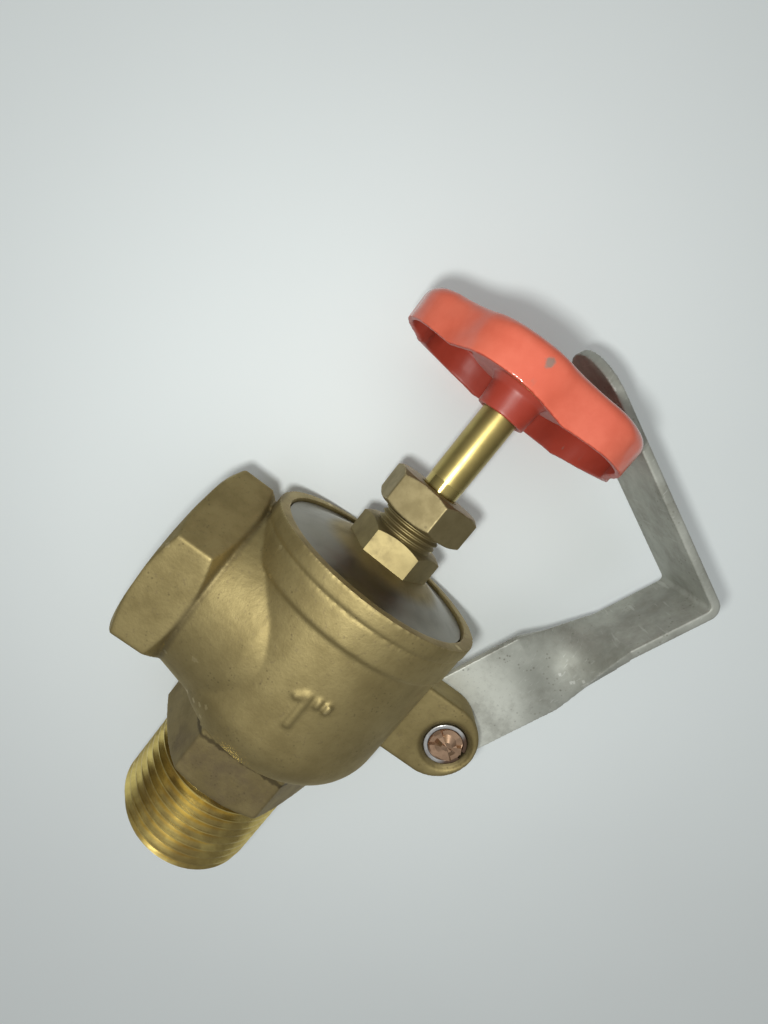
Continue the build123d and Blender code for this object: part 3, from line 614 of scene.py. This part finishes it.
for vertex in bodyCasting.data.vertices:  # the soft skin stays clear of the closed disc
    onSeat = abs(vertex.co.z - seatLevel) < bodyCast["seatBand"] and vertex.normal.z > bodyCast["seatFacing"]
    if onSeat and vertex.co.xy.length < bodyCast["seatReach"]:
        vertex.co.z -= bodyCast["seatDrop"]
tap = threadRod("outletTap", outletTap)
tap.rotation_euler = (0, math.radians(-90), 0)
tap.location = (0, 0, outletTap["axisHeight"])
settle(tap)
combine(bodyCasting, tap, "DIFFERENCE")
smoothBy(bodyCasting, bodyCast["sharp"])
paintPiece(bodyCasting, castBrass)
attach(bodyCasting, "housing")
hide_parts("body")
print("body casting done", len(bodyCasting.data.polygons))

# inlet thread: the casting's lower end with its screw turns
inletScrew = {"root": 0.01530, "crest": 0.016615, "pitch": 0.002309, "land": 0.00034, "bottom": -0.001, "top": 0.021,
              "sharp": 30}
inletThread = copyNode("body", "inletThread")
keepBelow(inletThread, bodyCast["shoulder"])
combine(inletThread, threadRod("inletScrew", inletScrew), "INTERSECT")
smoothBy(inletThread, inletScrew["sharp"])
paintPiece(inletThread, threadBrass)
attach(inletThread, "housing")
print("inlet thread done", len(inletThread.data.polygons))

# bonnet: turned flange and cone, hexagon, threaded neck
bonnetForm = {"neckCut": 0.08462, "edge": 0.00028}
neckScrew = {"root": 0.00635, "crest": 0.00698, "pitch": 0.0013, "land": 0.00022, "bottom": 0.080, "top": 0.100,
             "sharp": 30}
bonnetNeck = copyNode("bonnet", "bonnetNeck")
keepAbove(bonnetNeck, bonnetForm["neckCut"])
combine(bonnetNeck, threadRod("neckScrew", neckScrew), "INTERSECT")
smoothBy(bonnetNeck, neckScrew["sharp"])
paintPiece(bonnetNeck, turnedBrass)
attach(bonnetNeck, "housing")

bonnetTurned = copyNode("bonnet", "bonnetTurned")
keepBelow(bonnetTurned, bonnetForm["neckCut"])
easeEdges(bonnetTurned, bonnetForm["edge"])
paintPiece(bonnetTurned, turnedBrass)
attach(bonnetTurned, "housing")
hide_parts("bonnet")
print("bonnet done")

# gland nut with worn corners
nutForm = {"voxel": 0.00020, "rounds": 3}
glandNut = copyNode("gland_nut", "glandNut")
softSkin(glandNut, nutForm)
paintPiece(glandNut, nutBrass)
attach(glandNut, "housing")
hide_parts("gland_nut")

# handwheel with its rolled paint edges and the collar drawn down round the stem
wheelForm = {"voxel": 0.00021, "rounds": 10, "share": 0.42, "shadeStart": 0.35, "shadeSpan": 0.4}
hubCollar = {"inner": 0.00435, "outer": 0.0056, "foot": 0.1163, "head": 0.1235,
             "flare": 0.0003, "rootFlare": 0.0014, "rootHeight": 0.002, "reach": 0.012, "steps": 48}
wheelPressing = copyNode("handwheel", "wheelPressing")
collar = drawLine("hubCollar", [
    (hubCollar["inner"], 0, hubCollar["foot"]), (hubCollar["outer"], 0, hubCollar["foot"]),
    (hubCollar["outer"] + hubCollar["flare"], 0, hubCollar["head"] - hubCollar["rootHeight"]),
    (hubCollar["outer"] + hubCollar["rootFlare"], 0, hubCollar["head"]),
    (hubCollar["inner"], 0, hubCollar["head"]), (hubCollar["inner"], 0, hubCollar["foot"])])
spinLine(collar, hubCollar["steps"])
joinTo(wheelPressing, [collar])
softSkin(wheelPressing, wheelForm)
# painted shade: a share for faces turned inwards and faces turned downwards, full on the hub collar, read by the red
# paint
shadedInside = wheelPressing.data.attributes.new("shadedInside", "FLOAT", "POINT")
for vertex, spot in zip(wheelPressing.data.vertices, shadedInside.data):
    outwards = Vector((vertex.co.x, vertex.co.y, 0)).normalized()
    hidden = max(-vertex.normal.dot(outwards), -vertex.normal.z)
    if vertex.co.xy.length < hubCollar["reach"] and vertex.co.z < hubCollar["head"]:
        hidden = 1.0  # the collar itself, all in painted shade
    spot.value = min(max((hidden - wheelForm["shadeStart"]) / wheelForm["shadeSpan"], 0.0), 1.0)
paintPiece(wheelPressing, redPaint)
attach(wheelPressing, "wheel")
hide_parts("handwheel")

# strap with tumbled edges
strapForm = {"voxel": 0.00030, "rounds": 3}
strapPlate = copyNode("lock_strap", "strapPlate")
softSkin(strapPlate, strapForm)
paintPiece(strapPlate, zincStrap)
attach(strapPlate, "strap")
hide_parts("lock_strap")
print("nut, wheel and strap done")

# slotted sleeve, its end rounded by the hammer
sleeveForm = {"voxel": 0.00014, "rounds": 4}
slottedSleeve = copyNode("hinge_sleeve", "slottedSleeve")
softSkin(slottedSleeve, sleeveForm)
paintPiece(slottedSleeve, springSteel)
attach(slottedSleeve, "housing")
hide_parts("hinge_sleeve")

# the rivet's end, hammered into crumpled facets and over one side of the sleeve
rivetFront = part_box("hinge_rivet")[0][1]
rivetEnd = {"middle": (0.0371, 0.0523), "flush": 0.00075, "lip": 0.0002, "insets": (0.0012, 0.0014),
            "shift": (0.00045, -0.0001), "squeeze": 0.90, "sharp": 8,
            "ringReach": 0.0022, "peakReach": 0.0005, "rise": 0.0009, "peakRise": 0.3, "drop": 0.0007,
            "outerRise": [0.45, -0.25, 0.35, -0.5, 0.15, -0.2], "innerRise": [0.1, 0.5, -0.2, 0.35, 0.0, 0.45]}
rivetCore = copyNode("hinge_rivet", "rivetCore")
editAll(rivetCore)
bpy.ops.mesh.dissolve_limited(angle_limit=math.radians(0.4))
bpy.ops.mesh.select_all(action="DESELECT")
leaveEdit()
for face in rivetCore.data.polygons:
    face.select = face.normal.y < -0.99 and face.center.y < rivetFront + 0.0001
bpy.ops.object.mode_set(mode="EDIT")
bpy.ops.mesh.select_mode(type="FACE")
for length in (rivetEnd["flush"], rivetEnd["lip"]):
    bpy.ops.mesh.extrude_region_move(TRANSFORM_OT_translate={"value": (0, -length, 0)})
for inset in rivetEnd["insets"]:
    bpy.ops.mesh.inset(thickness=inset)
bpy.ops.mesh.poke()
leaveEdit()
lipLevel = rivetFront - rivetEnd["flush"] - rivetEnd["lip"]
for vertex in rivetCore.data.vertices:  # each sector is struck to its own height
    across = Vector((vertex.co.x - rivetEnd["middle"][0], vertex.co.z - rivetEnd["middle"][1]))
    if vertex.co.y < lipLevel + 0.00005:
        turn = math.atan2(across.y, across.x)
        sector = int((turn / math.tau + 0.07 * math.sin(2 * turn) + 1.0) * 6) % 6
        rises = rivetEnd["innerRise"] if across.length < rivetEnd["ringReach"] else rivetEnd["outerRise"]
        drop = rivetEnd["drop"] * max(0.25 - math.cos(turn), 0.0) if across.length > rivetEnd["ringReach"] else 0.0
        rise = rises[sector] if across.length > rivetEnd["peakReach"] else rivetEnd["peakRise"]
        vertex.co.y += drop - rivetEnd["rise"] * rise
        across *= rivetEnd["squeeze"] * (1.0 + 0.08 * math.cos(3 * turn + 1.0))
        vertex.co.x = rivetEnd["middle"][0] + across.x + rivetEnd["shift"][0]
        vertex.co.z = rivetEnd["middle"][1] + across.y + rivetEnd["shift"][1]
paintPiece(rivetCore, rivetCopper)
smoothBy(rivetCore, rivetEnd["sharp"])
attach(rivetCore, "housing")
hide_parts("hinge_rivet")
print("sleeve and rivet done")

# the CAD pieces that keep their own form
dress(turnedBrass, "packing_washer", "gland_follower", "disc_holder", "disc_collar_nut", "disc_plate", "disc_nut")
dress(stemBrass, "stem")
dress(zincSteel, "wheel_washer", "wheel_nut")
dress(sealRubber, "disc_washer")
dress(gasketFibre, "bonnet_gasket")
dress(packingCord, "packing_ring_lower", "packing_ring_upper")

# pale table top behind the lying valve, seen from its own side only
table = {"through": (0.0, 0.02605, 0.069), "tilt": 88.3, "size": 0.46, "pale": (0.80, 0.845, 0.838),
         "cool": (0.78, 0.822, 0.815), "rough": 0.5, "gloss": 0.3}
deselectAll()
bpy.ops.mesh.primitive_plane_add(size=table["size"], location=table["through"],
                                 rotation=(math.radians(table["tilt"]), 0, 0))
tableTop = namePiece("tableTop")
settle(tableTop)
tableFinish, tree, shader, place = finishOf("tableFinish")
cloud = fadeStep(tree, noiseOf(tree, place, 9.0, 4.0), 0.3, 0.7)
tree.links.new(mixColour(tree, cloud, table["pale"], table["cool"]), shader.inputs["Base Color"])
shader.inputs["Roughness"].default_value = table["rough"]
shader.inputs["Specular IOR Level"].default_value = table["gloss"]
through = tree.nodes.new("ShaderNodeBsdfTransparent")
sided = tree.nodes.new("ShaderNodeMixShader")
behind = tree.nodes.new("ShaderNodeNewGeometry").outputs["Backfacing"]
shadowRay = tree.nodes.new("ShaderNodeLightPath").outputs["Is Shadow Ray"]
tree.links.new(mathStep(tree, "MAXIMUM", behind, shadowRay), sided.inputs["Fac"])
tree.links.new(shader.outputs["BSDF"], sided.inputs[1])
tree.links.new(through.outputs["BSDF"], sided.inputs[2])
tree.links.new(sided.outputs["Shader"], tree.nodes["Material Output"].inputs["Surface"])
tableTop.data.materials.append(tableFinish)


def standIn(name, data):  # a camera or lamp in the scene
    thing = bpy.data.objects.new(name, data)
    scene.collection.objects.link(thing)
    return thing


# camera, fitted to the picture of 768 x 1024
view = {"place": (-0.019679, -0.110542, 0.104874), "focal": 528.4267733, "width": 768, "sensor": 36.0,
        "right": (0.7914447, 0.0104316, 0.6111517), "down": (0.6000399, -0.2037935, -0.7735763),
        "ahead": (0.1164791, 0.9789583, -0.1675507)}
cameraData = bpy.data.cameras.new("camera")
cameraData.sensor_fit = "HORIZONTAL"
cameraData.sensor_width = view["sensor"]
cameraData.lens = view["focal"] * view["sensor"] / view["width"]
cameraData.clip_start = 0.002
camera = standIn("camera", cameraData)
right, down, ahead = Vector(view["right"]), Vector(view["down"]), Vector(view["ahead"])
turned = Matrix((right, -down, -ahead)).transposed().to_4x4()
turned.translation = Vector(view["place"])
camera.matrix_world = turned
scene.camera = camera

# light: small lamp beside the lens, a broad one behind, pale room that is brightest overhead
lights = {"flashPower": 0.42, "flashSize": 0.0045, "flashAside": (-0.008, 0.010), "flashTint": (0.985, 1.0, 0.985),
          "backPower": 0.5, "backSize": 0.32, "backPlace": (0.06, 0.42, 0.20), "backAim": (0, 0, 0.06),
          "roomSide": 0.20, "roomTop": 0.58, "roomTint": (0.985, 1.0, 1.0), "overhead": (0.0, -1.0, 0.03)}
flashLamp = bpy.data.lights.new("flashLamp", "POINT")
flashLamp.shadow_soft_size = lights["flashSize"]
flashLamp.energy = lights["flashPower"]
flashLamp.color = lights["flashTint"]
flashPlace = turned.copy()
flashPlace.translation = turned.translation + right * lights["flashAside"][0] + down * lights["flashAside"][1]
standIn("flashLamp", flashLamp).matrix_world = flashPlace
backLamp = bpy.data.lights.new("backLamp", "AREA")
backLamp.size = lights["backSize"]
backLamp.energy = lights["backPower"]
back = standIn("backLamp", backLamp)
back.location = lights["backPlace"]
backAhead = Vector(lights["backAim"]) - Vector(lights["backPlace"])
back.rotation_euler = backAhead.to_track_quat("-Z", "Y").to_euler()

room = bpy.data.worlds.new("room")
room.use_nodes = True
tree = room.node_tree
skyward = vectorStep(tree, "DOT_PRODUCT", tree.nodes.new("ShaderNodeTexCoord").outputs["Generated"], lights["overhead"])
rise = mathStep(tree, "POWER", mathStep(tree, "MAXIMUM", skyward, 0.0), 2.0)
level = mathStep(tree, "MULTIPLY_ADD", rise, lights["roomTop"], lights["roomSide"])
tree.nodes["Background"].inputs["Color"].default_value = (*lights["roomTint"], 1)
tree.links.new(level, tree.nodes["Background"].inputs["Strength"])
scene.world = room
print("stage, camera and light done")
